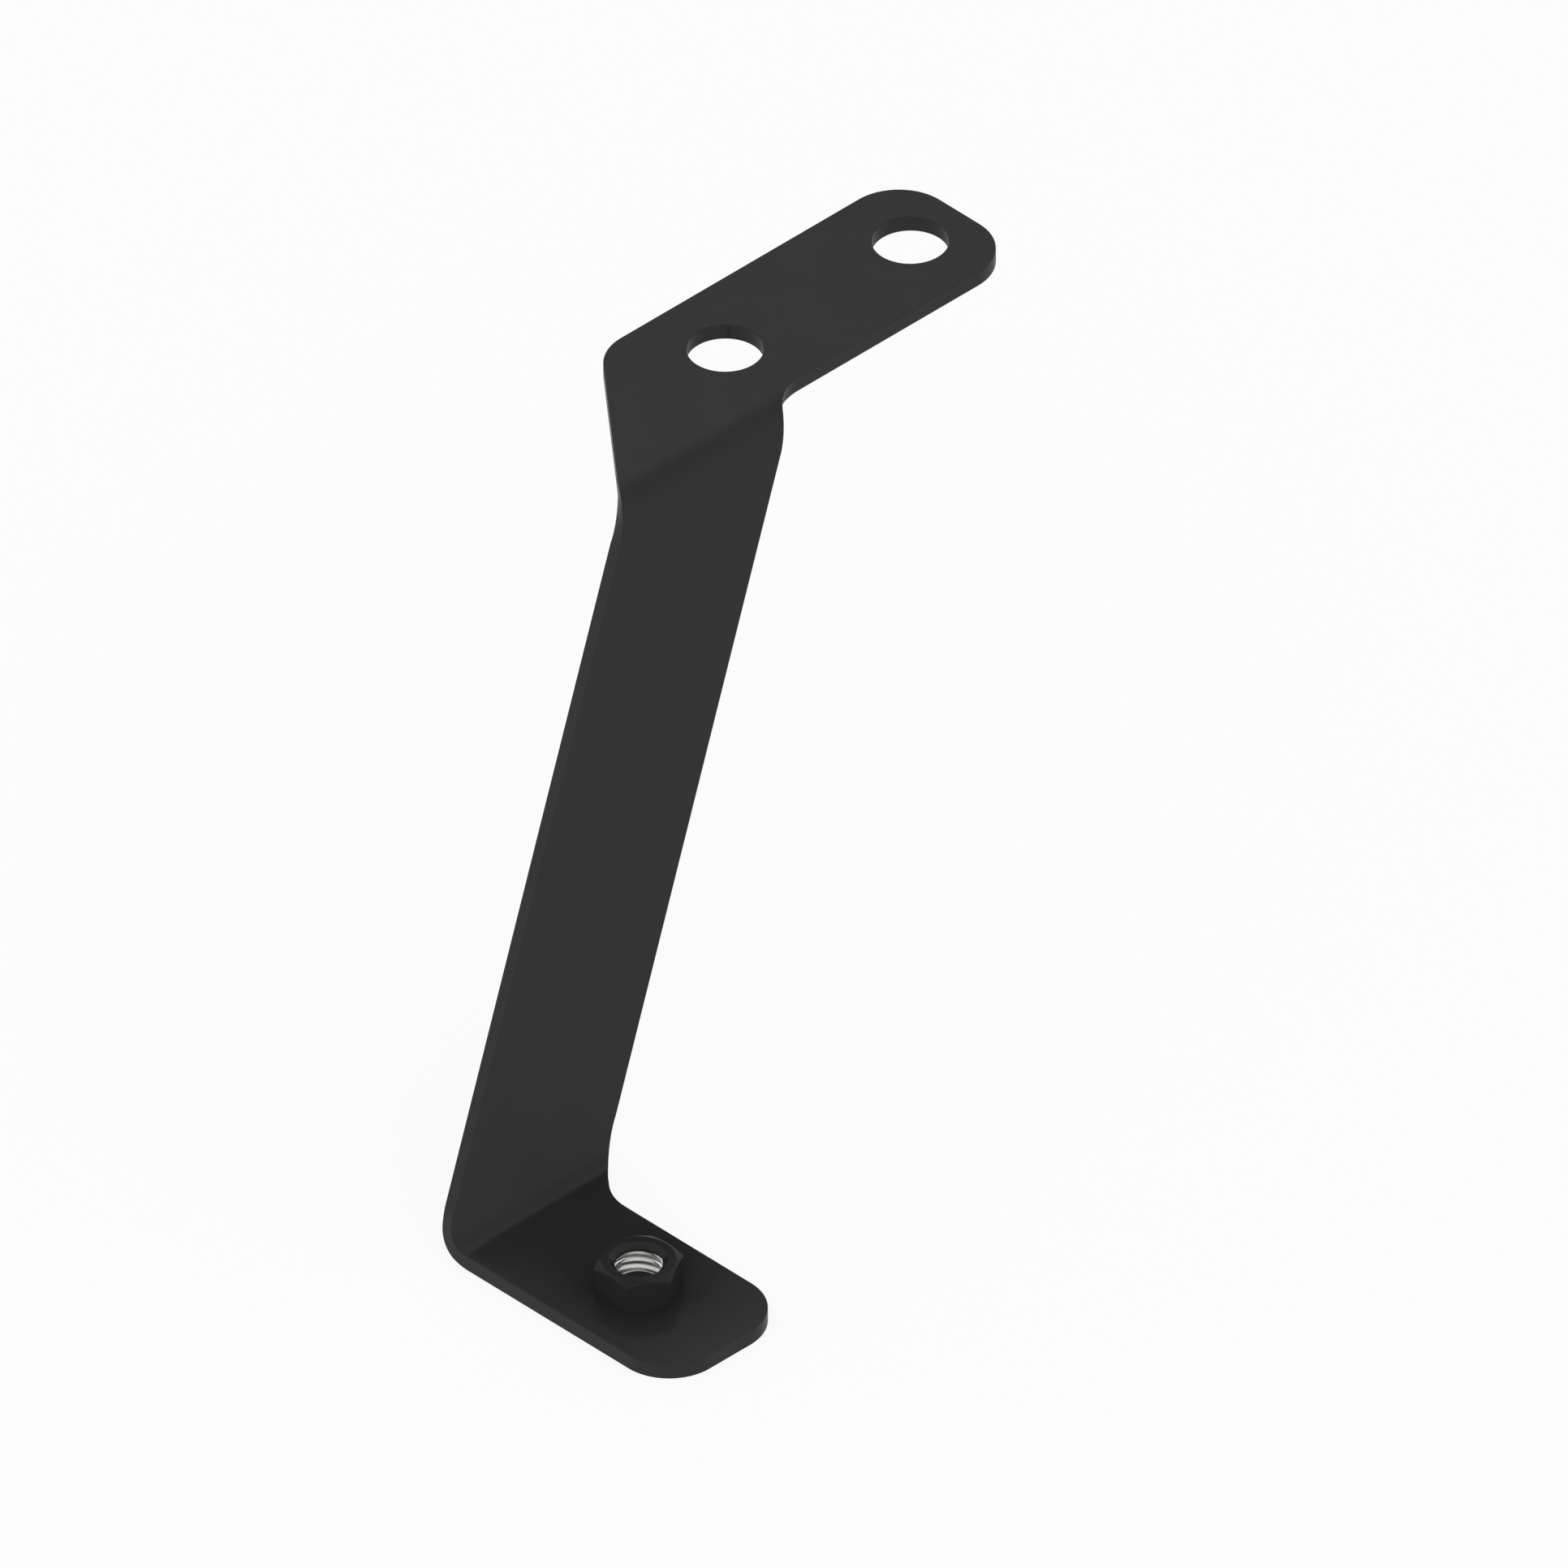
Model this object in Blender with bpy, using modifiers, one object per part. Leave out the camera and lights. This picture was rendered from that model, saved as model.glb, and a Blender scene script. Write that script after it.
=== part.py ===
"""Line bracket: a folded strap arm with a weld nut on its foot.

The strap is made the way the real one is. A flat blank, one strap width wide all the way, is cut with
two elbows in it. It is then folded along two parallel lines: down from the bolted flange, and back to
level at the foot. A hex weld nut stands over a clearance hole in the foot.

The origin is midway between the two bolt holes, on the top face of the flange. +X runs from the
flange towards the foot, +Y along the flange towards its free end, and +Z is up.
"""
import math

import bmesh
import bpy
from mathutils import Matrix, Vector

MM = 0.001

# Strap stock
STRAP_WIDTH = 30.0 * MM
STRAP_THICKNESS = 3.0 * MM
CORNER_RADIUS = 10.0 * MM
EDGE_BREAK = 0.2 * MM

# Bolted flange
FLANGE_LENGTH = 65.5 * MM
BOLT_HOLE_DIAMETER = 13.5 * MM
BOLT_HOLE_SPACING = 45.0 * MM
BOLT_HOLE_TO_END = 12.0 * MM

# Web between the two folds
WEB_LENGTH = 92.0 * MM
WEB_SKEW = math.radians(50.0)
FOLD_ANGLE = math.radians(66.0)
FLANGE_FOLD_RADIUS = 6.0 * MM
FOOT_FOLD_RADIUS = 8.0 * MM

# Foot
FOOT_LENGTH = 50.0 * MM
FOOT_ELBOW_ABOVE_FOLD = 0.7 * MM
NUT_TO_FOOT_END = 22.8 * MM
NUT_CLEARANCE_HOLE = 11.0 * MM

# Weld nut, for an M10 coarse thread
NUT_ACROSS_FLATS = 14.0 * MM
NUT_HEIGHT = 6.0 * MM
NUT_BORE_DIAMETER = 8.38 * MM
NUT_MOUTH_DIAMETER = 10.4 * MM
NUT_FOOT_CHAMFER = 0.4 * MM
NUT_FACE_DIAMETER = 13.2 * MM
NUT_CHAMFER_ANGLE = math.radians(30.0)
WELD_SEAM = 0.3 * MM

# Smoothness of the curved stretches, and what counts as a corner
CORNER_STEPS = 9
FOLD_STEPS = 11
ROUND_SIDES = 48
SHARP_ANGLE = math.radians(25.0)
FLAT_ANGLE = math.radians(1.0)

# Cutters run this far past what they cut, and points this close are one point
CUTTER_MARGIN = 2.0 * MM
JOIN_DISTANCE = 0.01 * MM

HEXAGON_SIDES = 6
HEXAGON_HALF_SIDE = math.pi / HEXAGON_SIDES

STRAP_COATING = ((0.028, 0.028, 0.029, 1.0), 0.42, 0.0)
NUT_COATING = ((0.022, 0.022, 0.023, 1.0), 0.38, 0.0)


class Folds:
    """Where the two folds lie on the flat blank, and where a point of it goes once folded.

    The blank's own x runs from the flange to the foot and its z is the distance from mid thickness.
    The mid surface keeps its length, so each fold uses up its angle times its radius at mid thickness.
    """

    def __init__(self):
        half = STRAP_THICKNESS / 2
        self.flange_radius = FLANGE_FOLD_RADIUS + half
        self.foot_radius = FOOT_FOLD_RADIUS + half
        self.flange_start = STRAP_WIDTH / 2
        self.flange_stop = self.flange_start + FOLD_ANGLE * self.flange_radius
        self.foot_start = self.flange_stop + WEB_LENGTH
        self.foot_stop = self.foot_start + FOLD_ANGLE * self.foot_radius

    def lines(self):
        """The x of every line across the blank that a fold's facets meet at."""
        for start, stop in ((self.flange_start, self.flange_stop), (self.foot_start, self.foot_stop)):
            for step in range(FOLD_STEPS + 1):
                yield start + (stop - start) * step / FOLD_STEPS

    def middle(self, x):
        """Mid surface at a flat x: its place in the XZ plane and how far it slopes down there."""
        tilt = min(max((x - self.flange_start) / self.flange_radius, 0.0), FOLD_ANGLE)
        unfold = min(max((x - self.foot_start) / self.foot_radius, 0.0), FOLD_ANGLE)
        web = min(max(x - self.flange_stop, 0.0), WEB_LENGTH)
        level = min(x, self.flange_start) + max(x - self.foot_stop, 0.0)
        place = Vector((level, 0.0, -STRAP_THICKNESS / 2))
        place.x += self.flange_radius * math.sin(tilt)
        place.z -= self.flange_radius * (1.0 - math.cos(tilt))
        place.x += web * math.cos(FOLD_ANGLE)
        place.z -= web * math.sin(FOLD_ANGLE)
        slope = tilt - unfold
        place.x += self.foot_radius * (math.sin(FOLD_ANGLE) - math.sin(FOLD_ANGLE - unfold))
        place.z -= self.foot_radius * (math.cos(FOLD_ANGLE - unfold) - math.cos(FOLD_ANGLE))
        return place, slope

    def fold(self, point):
        """A point of the flat blank, in its place on the folded strap."""
        place, slope = self.middle(point.x)
        normal = Vector((math.sin(slope), 0.0, math.cos(slope)))
        return place + normal * point.z + Vector((0.0, point.y, 0.0))


FOLDS = Folds()


def centre_line():
    """The blank's centre line: flange end, flange elbow, foot elbow, foot end."""
    flange_end = BOLT_HOLE_SPACING / 2 + BOLT_HOLE_TO_END
    flange_elbow = Vector((0.0, flange_end - FLANGE_LENGTH))
    foot_elbow_x = FOLDS.foot_stop - FOOT_ELBOW_ABOVE_FOLD
    foot_elbow = Vector((foot_elbow_x, flange_elbow.y - foot_elbow_x / math.tan(WEB_SKEW)))
    foot_end = Vector((FOLDS.foot_stop + FOOT_LENGTH, foot_elbow.y))
    return [Vector((0.0, flange_end)), flange_elbow, foot_elbow, foot_end]


def strap_corners(line, width):
    """Sharp corners of a strap of one width along a centre line, in order round it."""
    runs = [(b - a).normalized() for a, b in zip(line, line[1:])]
    befores = [runs[0]] + runs
    afters = runs + [runs[-1]]
    sides = []
    for point, before, after in zip(line, befores, afters):
        across = Vector((-before.y - after.y, before.x + after.x)).normalized()
        reach = width / 2 / across.dot(Vector((-after.y, after.x)))
        sides.append((point + across * reach, point - across * reach))
    return [left for left, right in sides] + [right for left, right in reversed(sides)]


def rounded(corners, radius, steps):
    """A closed outline whose every corner is an arc of one radius, touching both its sides."""
    outline = []
    for index, corner in enumerate(corners):
        back = (corners[index - 1] - corner).normalized()
        ahead = (corners[(index + 1) % len(corners)] - corner).normalized()
        half_angle = back.angle(ahead) / 2
        centre = corner + (back + ahead).normalized() * radius / math.sin(half_angle)
        first = corner + back * radius / math.tan(half_angle) - centre
        last = corner + ahead * radius / math.tan(half_angle) - centre
        sweep = first.angle_signed(last)
        for step in range(steps + 1):
            outline.append(centre + Matrix.Rotation(-sweep * step / steps, 2) @ first)
    return outline


def new_collection(name):
    collection = bpy.data.collections.new(name)
    bpy.context.scene.collection.children.link(collection)
    return collection


def new_material(name, colour, roughness, metallic):
    material = bpy.data.materials.new(name)
    material.use_nodes = True
    shader = material.node_tree.nodes["Principled BSDF"]
    shader.inputs["Base Color"].default_value = colour
    shader.inputs["Roughness"].default_value = roughness
    shader.inputs["Metallic"].default_value = metallic
    return material


def mesh_object(name, bm, collection):
    """A new object from a bmesh, with its face directions made consistent."""
    bmesh.ops.recalc_face_normals(bm, faces=bm.faces)
    mesh = bpy.data.meshes.new(name)
    bm.to_mesh(mesh)
    bm.free()
    made = bpy.data.objects.new(name, mesh)
    collection.objects.link(made)
    return made


def plate_mesh(name, outline, thickness):
    """A flat plate cut to an outline, centred on its mid thickness, as a welded bmesh."""
    curve = bpy.data.curves.new(name, "CURVE")
    curve.dimensions = "2D"
    curve.fill_mode = "BOTH"
    curve.extrude = thickness / 2
    spline = curve.splines.new("POLY")
    spline.points.add(len(outline) - 1)
    spline.use_cyclic_u = True
    for spline_point, point in zip(spline.points, outline):
        spline_point.co = (point.x, point.y, 0.0, 1.0)
    holder = bpy.data.objects.new(name, curve)
    bpy.context.scene.collection.objects.link(holder)
    bpy.context.view_layer.update()
    evaluated = holder.evaluated_get(bpy.context.evaluated_depsgraph_get())
    filled = bpy.data.meshes.new_from_object(evaluated)
    bm = bmesh.new()
    bm.from_mesh(filled)
    bpy.data.objects.remove(holder)
    bpy.data.curves.remove(curve)
    bpy.data.meshes.remove(filled)
    bmesh.ops.remove_doubles(bm, verts=bm.verts, dist=JOIN_DISTANCE)
    bmesh.ops.dissolve_limit(bm, angle_limit=FLAT_ANGLE, verts=bm.verts, edges=bm.edges)
    return bm


def turned_object(name, profile, collection):
    """A solid of revolution about Z from a profile of (radius, height) points, top first."""
    bm = bmesh.new()
    corners = [bm.verts.new((radius, 0.0, height)) for radius, height in profile]
    for upper, lower in zip(corners, corners[1:]):
        bm.edges.new((upper, lower))
    turned = mesh_object(name, bm, collection)
    screw = turned.modifiers.new("turn", "SCREW")
    screw.steps = ROUND_SIDES
    screw.render_steps = ROUND_SIDES
    screw.use_merge_vertices = True
    screw.merge_threshold = JOIN_DISTANCE
    return turned


def drill(name, diameter, x, y, top, bottom, collection):
    """A round cutter standing on Z at (x, y), from a little below bottom to a little above top."""
    depth = top - bottom + 2 * CUTTER_MARGIN
    bm = bmesh.new()
    bmesh.ops.create_cone(
        bm, cap_ends=True, segments=ROUND_SIDES, radius1=diameter / 2, radius2=diameter / 2, depth=depth
    )
    cutter = mesh_object(name, bm, collection)
    cutter.location = (x, y, (top + bottom) / 2)
    return cutter


def as_cutter(cutter):
    cutter.hide_render = True
    cutter.display_type = "WIRE"
    return cutter


def boolean(target, tool, operation):
    modifier = target.modifiers.new(tool.name, "BOOLEAN")
    modifier.operation = operation
    modifier.object = as_cutter(tool)


def break_edges(target, width):
    """A small flat on every sharp edge, as blanking and coating leave it."""
    bevel = target.modifiers.new("edge_break", "BEVEL")
    bevel.width = width
    bevel.segments = 1
    bevel.limit_method = "ANGLE"
    bevel.angle_limit = SHARP_ANGLE


def make_strap(parts, cutters):
    """The arm: blank, folds, two bolt holes and the hole under the nut."""
    corners = strap_corners(centre_line(), STRAP_WIDTH)
    outline = rounded(corners, CORNER_RADIUS, CORNER_STEPS)
    bm = plate_mesh("blank", outline, STRAP_THICKNESS)
    for x in FOLDS.lines():
        everything = bm.verts[:] + bm.edges[:] + bm.faces[:]
        bmesh.ops.bisect_plane(
            bm, geom=everything, dist=JOIN_DISTANCE, plane_co=(x, 0.0, 0.0), plane_no=(1.0, 0.0, 0.0)
        )
    for vert in bm.verts:
        vert.co = FOLDS.fold(vert.co)
    strap = mesh_object("bracket_strap", bm, parts)
    strap.data.materials.append(new_material("strap_coating", *STRAP_COATING))

    for y in (-BOLT_HOLE_SPACING / 2, BOLT_HOLE_SPACING / 2):
        hole = drill("bolt_hole_cutter", BOLT_HOLE_DIAMETER, 0.0, y, 0.0, -STRAP_THICKNESS, cutters)
        boolean(strap, hole, "DIFFERENCE")
    seat = nut_seat()
    clearance = drill(
        "nut_clearance_cutter", NUT_CLEARANCE_HOLE, seat.x, seat.y, seat.z, seat.z - STRAP_THICKNESS, cutters
    )
    boolean(strap, clearance, "DIFFERENCE")
    break_edges(strap, EDGE_BREAK)
    return strap


def nut_seat():
    """Where the nut's axis meets the top face of the foot."""
    foot_end = centre_line()[-1]
    on_blank = Vector((foot_end.x - NUT_TO_FOOT_END, foot_end.y, STRAP_THICKNESS / 2))
    return FOLDS.fold(on_blank)


def make_nut(parts, cutters):
    """The weld nut: a hexagon with its top corners turned off, bored and countersunk."""
    corner_radius = NUT_ACROSS_FLATS / 2 / math.cos(HEXAGON_HALF_SIDE)
    bm = bmesh.new()
    bmesh.ops.create_cone(
        bm, cap_ends=True, segments=HEXAGON_SIDES, radius1=corner_radius, radius2=corner_radius,
        depth=NUT_HEIGHT,
    )
    bmesh.ops.rotate(bm, verts=bm.verts, matrix=Matrix.Rotation(HEXAGON_HALF_SIDE, 3, "Z"))
    bmesh.ops.translate(bm, verts=bm.verts, vec=(0.0, 0.0, NUT_HEIGHT / 2))
    nut = mesh_object("weld_nut", bm, parts)
    nut.data.materials.append(new_material("nut_coating", *NUT_COATING))

    wide = corner_radius + CUTTER_MARGIN
    face = NUT_FACE_DIAMETER / 2
    shoulder = NUT_HEIGHT - (wide - face) * math.tan(NUT_CHAMFER_ANGLE)
    envelope = turned_object(
        "nut_chamfer_envelope",
        [(0.0, NUT_HEIGHT + CUTTER_MARGIN), (face, NUT_HEIGHT + CUTTER_MARGIN), (face, NUT_HEIGHT),
         (wide, shoulder), (wide, -CUTTER_MARGIN), (0.0, -CUTTER_MARGIN)],
        cutters,
    )
    bore = NUT_BORE_DIAMETER / 2
    mouth = NUT_MOUTH_DIAMETER / 2
    drill_profile = turned_object(
        "nut_bore_cutter",
        [(0.0, NUT_HEIGHT + CUTTER_MARGIN), (mouth + CUTTER_MARGIN, NUT_HEIGHT + CUTTER_MARGIN),
         (bore, NUT_HEIGHT - (mouth - bore)), (bore, NUT_FOOT_CHAMFER),
         (bore + NUT_FOOT_CHAMFER + CUTTER_MARGIN, -CUTTER_MARGIN), (0.0, -CUTTER_MARGIN)],
        cutters,
    )
    place = nut_seat() + Vector((0.0, 0.0, WELD_SEAM))
    for made in (nut, envelope, drill_profile):
        made.location = place
    boolean(nut, envelope, "INTERSECT")
    boolean(nut, drill_profile, "DIFFERENCE")
    return nut


def shade(target):
    """Smooth shading, with every real corner kept sharp."""
    target.data.shade_smooth()
    target.data.set_sharp_from_angle(angle=SHARP_ANGLE)


def main():
    for old in list(bpy.data.objects):
        bpy.data.objects.remove(old)
    parts = new_collection("line_bracket")
    cutters = new_collection("line_bracket_cutters")
    strap = make_strap(parts, cutters)
    nut = make_nut(parts, cutters)
    shade(strap)
    shade(nut)


main()
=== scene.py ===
# %% [markdown]
# # A line bracket
#
# A line bracket holds a pipe or a cable line at a distance from what it is bolted to. This one is
# a single strap of 3 mm steel: a flange with two bolt holes, a long skewed web, and a foot that
# carries a welded hex nut. It is folded twice across the skew, dipped in black paint, and the
# nut's thread is kept bare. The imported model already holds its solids, as a fixed frame, and the
# pieces made here stand in the same place with the detail that solids of flat faces leave out.

# %% The frame
import math

import bpy
import numpy as np
from mathutils import Matrix, Vector


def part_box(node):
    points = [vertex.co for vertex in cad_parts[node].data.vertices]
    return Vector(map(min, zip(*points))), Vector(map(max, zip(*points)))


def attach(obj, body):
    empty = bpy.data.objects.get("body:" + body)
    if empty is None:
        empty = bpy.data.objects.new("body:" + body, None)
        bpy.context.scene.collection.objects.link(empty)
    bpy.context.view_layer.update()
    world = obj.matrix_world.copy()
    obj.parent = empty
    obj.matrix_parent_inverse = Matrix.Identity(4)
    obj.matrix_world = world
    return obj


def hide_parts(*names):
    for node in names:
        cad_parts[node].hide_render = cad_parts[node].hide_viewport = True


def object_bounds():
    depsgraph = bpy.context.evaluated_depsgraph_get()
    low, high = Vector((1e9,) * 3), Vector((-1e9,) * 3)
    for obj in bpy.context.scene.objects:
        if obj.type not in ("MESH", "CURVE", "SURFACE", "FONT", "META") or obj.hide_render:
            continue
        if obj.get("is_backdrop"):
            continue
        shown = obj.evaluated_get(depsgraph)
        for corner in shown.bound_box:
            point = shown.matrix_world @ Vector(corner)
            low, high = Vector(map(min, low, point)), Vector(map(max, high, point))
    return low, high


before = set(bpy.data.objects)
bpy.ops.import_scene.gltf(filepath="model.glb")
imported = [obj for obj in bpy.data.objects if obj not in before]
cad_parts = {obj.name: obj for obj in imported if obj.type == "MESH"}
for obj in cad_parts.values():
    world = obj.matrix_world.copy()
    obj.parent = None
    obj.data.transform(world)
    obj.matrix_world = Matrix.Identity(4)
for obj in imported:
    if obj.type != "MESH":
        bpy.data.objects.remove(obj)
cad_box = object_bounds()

MM = 0.001
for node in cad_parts:
    low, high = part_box(node)
    print(node, "from", [round(v / MM, 2) for v in low], "to", [round(v / MM, 2) for v in high], "mm")

# %% [markdown]
# ## The strap's sizes
#
# The strap is one width and one thickness all along, so a handful of sizes makes it: three
# lengths, two folds and the skew between them. They are the sizes that the solids were made
# with, in millimetres and degrees, and every shape below is worked out from them.

# %% The strap's sizes
STRAP_WIDTH = 30.0
STRAP_THICKNESS = 3.0
CORNER_RADIUS = 10.0
FLANGE_LENGTH = 65.5
BOLT_HOLE_DIAMETER = 13.5
BOLT_HOLE_SPACING = 45.0
BOLT_HOLE_TO_END = 12.0
WEB_LENGTH = 92.0
WEB_SKEW = math.radians(50.0)
FOLD_ANGLE = math.radians(66.0)
FLANGE_FOLD_RADIUS = 6.0
FOOT_FOLD_RADIUS = 8.0
FOOT_LENGTH = 50.0
FOOT_ELBOW_ABOVE_FOLD = 0.7
NUT_TO_FOOT_END = 22.8
NUT_CLEARANCE_HOLE = 11.0

flange_neutral = FLANGE_FOLD_RADIUS + STRAP_THICKNESS / 2
foot_neutral = FOOT_FOLD_RADIUS + STRAP_THICKNESS / 2
flange_start = STRAP_WIDTH / 2
flange_stop = flange_start + FOLD_ANGLE * flange_neutral
foot_start = flange_stop + WEB_LENGTH
foot_stop = foot_start + FOLD_ANGLE * foot_neutral
free_end = BOLT_HOLE_SPACING / 2 + BOLT_HOLE_TO_END
elbow = np.array((0.0, free_end - FLANGE_LENGTH))
knee = np.array((foot_stop - FOOT_ELBOW_ABOVE_FOLD, 0.0))
knee[1] = elbow[1] - knee[0] / math.tan(WEB_SKEW)
centre_line = np.array(((0.0, free_end), elbow, knee, (foot_stop + FOOT_LENGTH, knee[1])))
print("the flat strap is", round(float(np.linalg.norm(np.diff(centre_line, axis=0), axis=1).sum()), 1),
      "mm long down its middle")

# %% [markdown]
# ## The blank's outline
#
# Before it is folded, the strap is a flat blank that a press stamps out in one stroke. Its outline
# could be drawn as a curve and filled, but a path that is worked out gives the point and the
# outward direction at any distance along it, and both are needed: the points place the edge, and
# the directions let it be rounded and shaded exactly. A path of lines and arcs is a chain of
# pieces whose heading turns evenly, so one formula serves for both kinds.

# %% A path of lines and arcs
class RoundedPath:
    """A closed path through corners, each rounded by an arc. At corner i the heading turns by t,
    and the arc of radius r touches both sides r tan(|t| / 2) from the corner."""

    def __init__(self, corners, radius, inset=0.0):
        """The path runs anticlockwise and lies inset mm inside the outline of that radius, so an
        outer corner's arc is that much tighter and an inner corner's that much wider."""
        side = corners - np.roll(corners, 1, axis=0)
        heading = np.arctan2(side[:, 1], side[:, 0])
        turn = (np.roll(heading, -1) - heading + math.pi) % (2 * math.pi) - math.pi
        radii = radius - inset * np.sign(turn)
        cut = radii * np.tan(np.abs(turn) / 2)
        forward = np.stack((np.cos(heading), np.sin(heading)), 1)
        line = np.linalg.norm(side, axis=1) - cut - np.roll(cut, 1)
        arc = radii * np.abs(turn)
        self.lengths = np.stack((line, arc), 1).ravel()
        self.stops = np.concatenate(((0.0,), np.cumsum(self.lengths)))
        self.headings = np.repeat(heading, 2)
        self.curvatures = np.stack((np.zeros_like(turn), turn / arc), 1).ravel()
        arc_points = corners - forward * cut[:, None]
        self.points = np.stack((arc_points - forward * line[:, None], arc_points), 1).reshape(-1, 2)
        self.length = self.stops[-1]

    def line(self, corner):
        """The distance at which the straight side that arrives at that corner starts."""
        return self.stops[2 * corner]

    def arc(self, corner):
        """The distance at which that corner's arc starts."""
        return self.stops[2 * corner + 1]

    def at(self, distance):
        """Points and outward directions at those distances. Within a piece of curvature k, the
        point u mm on lies at a chord of u sinc(k u / 2), in the heading plus k u / 2, and the
        outward direction is the heading there less a right angle."""
        distance = np.asarray(distance, float) % self.length
        piece = np.searchsorted(self.stops, distance, side="right") - 1
        beyond = distance - self.stops[piece]
        turned = self.curvatures[piece] * beyond
        chord = beyond * np.sinc(turned / 2 / math.pi)
        middle = self.headings[piece] + turned / 2
        heading = self.headings[piece] + turned
        points = self.points[piece] + chord[:, None] * np.stack((np.cos(middle), np.sin(middle)), 1)
        return points, np.stack((np.sin(heading), -np.cos(heading)), 1)

    def where(self, axis, values, start, stop):
        """The distances between start and stop at which the path's x (axis 0) or y (axis 1) is
        each of the values, read off a table with an entry every hundredth of a millimetre."""
        table = np.arange(start, stop, 0.01)
        seen = self.at(table)[0][:, axis]
        order = np.argsort(seen)
        return np.interp(values, seen[order], table[order])


def strip_corners(line, half_width):
    """The corners of a strip along a bent line, anticlockwise. Each corner is half_width off the
    line along its left-hand normal, or at a bend along (m + n) / (1 + m.n) of its two normals."""
    step = np.diff(line, axis=0)
    step /= np.linalg.norm(step, axis=1)[:, None]
    normal = np.stack((-step[:, 1], step[:, 0]), 1)
    before, after = normal[:-1], normal[1:]
    mitre = (before + after) / (1 + (before * after).sum(1))[:, None]
    offset = half_width * np.concatenate((normal[:1], mitre, normal[-1:]))
    return np.concatenate((line - offset, (line + offset)[::-1]))


# %% [markdown]
# A stamped edge isn't sharp: the die draws it in a little, and the paint rounds it further. So the
# flat faces end at an inner outline, 0.15 mm in, and the edge is a profile that is carried along
# it: a quarter round, a straight wall and a quarter round.

# %% The inner outline
EDGE_ROUND = 0.15
inner_line = centre_line + np.array(((0, -EDGE_ROUND), (0, 0), (0, 0), (-EDGE_ROUND, 0)))
inner_corners = strip_corners(inner_line, STRAP_WIDTH / 2 - EDGE_ROUND)
outline = RoundedPath(inner_corners, CORNER_RADIUS, EDGE_ROUND)
NEAR_END, NEAR_ELBOW, NEAR_KNEE, NEAR_TIP, FAR_TIP, FAR_KNEE, FAR_ELBOW, FAR_END = range(8)
print("the inner outline is", round(float(outline.length), 1), "mm round")

# %% [markdown]
# ## Grids into a mesh
#
# Every surface here is a grid of points, worked out as one array, with an outward direction for
# each point. Grids that meet share the points of their common side, so they can be welded by
# place. The directions then become the mesh's own normals: a flat face stays flat right up to its
# rounded edge, which normals averaged from the faces would not give.

# %% Collecting grids
class Skin:
    """Grids of points and outward directions, collected and welded into one mesh."""

    WELD = 1e-4  # mm

    def __init__(self):
        self.points, self.normals, self.quads, self.finishes, self.count = [], [], [], [], 0

    def add(self, points, normals, closed=False, finish=0):
        """Adds a grid. Each quad joins points i, i + 1 of rows j, j + 1, and in a closed grid the
        last row joins the first. The finish is one number, or one for each quad."""
        rows, columns = points.shape[:2]
        number = self.count + np.arange(rows * columns).reshape(rows, columns)
        if closed:
            number = np.concatenate((number, number[:1]))
        quads = np.stack((number[:-1, :-1], number[1:, :-1], number[1:, 1:], number[:-1, 1:]), -1)
        self.points.append(points.reshape(-1, 3))
        self.normals.append(np.broadcast_to(normals, points.shape).reshape(-1, 3))
        self.quads.append(quads.reshape(-1, 4))
        self.finishes.append(np.broadcast_to(finish, quads.shape[:2]).ravel())
        self.count += rows * columns

    def welded(self):
        """Points, normals, quads and finishes, with points at one place made one, and each quad
        turned so that its own normal, the cross product of its diagonals, faces outwards."""
        points, normals = np.concatenate(self.points), np.concatenate(self.normals)
        key = np.round(points / self.WELD).astype(np.int64)
        _, first, back = np.unique(key, axis=0, return_index=True, return_inverse=True)
        quads = back.ravel()[np.concatenate(self.quads)]
        points, normals = points[first], normals[first]
        corner = points[quads]
        facing = np.cross(corner[:, 2] - corner[:, 0], corner[:, 3] - corner[:, 1])
        inward = (facing * normals[quads].sum(1)).sum(1) < 0
        quads[inward] = quads[inward][:, ::-1]
        return points, normals, quads, np.concatenate(self.finishes)


def make_piece(name, points, normals, quads, finishes, materials):
    """An object at the origin whose mesh has those points, in millimetres, and those normals."""
    mesh = bpy.data.meshes.new(name)
    mesh.from_pydata(points * MM, (), quads)
    for material in materials:
        mesh.materials.append(material)
    mesh.polygons.foreach_set("material_index", finishes.astype(np.int32))
    mesh.polygons.foreach_set("use_smooth", np.ones(len(quads), bool))
    mesh.update()
    mesh.normals_split_custom_set_from_vertices(normals)
    piece = bpy.data.objects.new(name, mesh)
    bpy.context.scene.collection.objects.link(piece)
    edges = np.sort(np.stack((quads, np.roll(quads, -1, axis=1)), -1).reshape(-1, 2), axis=1)
    _, uses = np.unique(edges, axis=0, return_counts=True)
    print(name, "has", len(quads), "quads and", int((uses != 2).sum()), "open edges")
    return piece


# %% [markdown]
# ## The flat faces
#
# A round hole and a square grid don't fit together, so each hole gets a ring of its own: a grid
# whose first side is the hole's circle and whose last is the border of its part of the strap. The
# long stretch between the rings is a plain grid of rows across the strap. Its rows run along the
# folds, because a sheet bends about straight lines: with a row on every few degrees of the bend,
# each face between two rows stays flat.

# %% Borders and rows
COLUMNS = 20
FOLD_ROWS = 25
WEB_ROWS = 25
KNEE_REACH, KNEE_ROWS = 6.0, 9
FOOT_REACH, FOOT_ROWS = 10.0, 15

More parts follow.
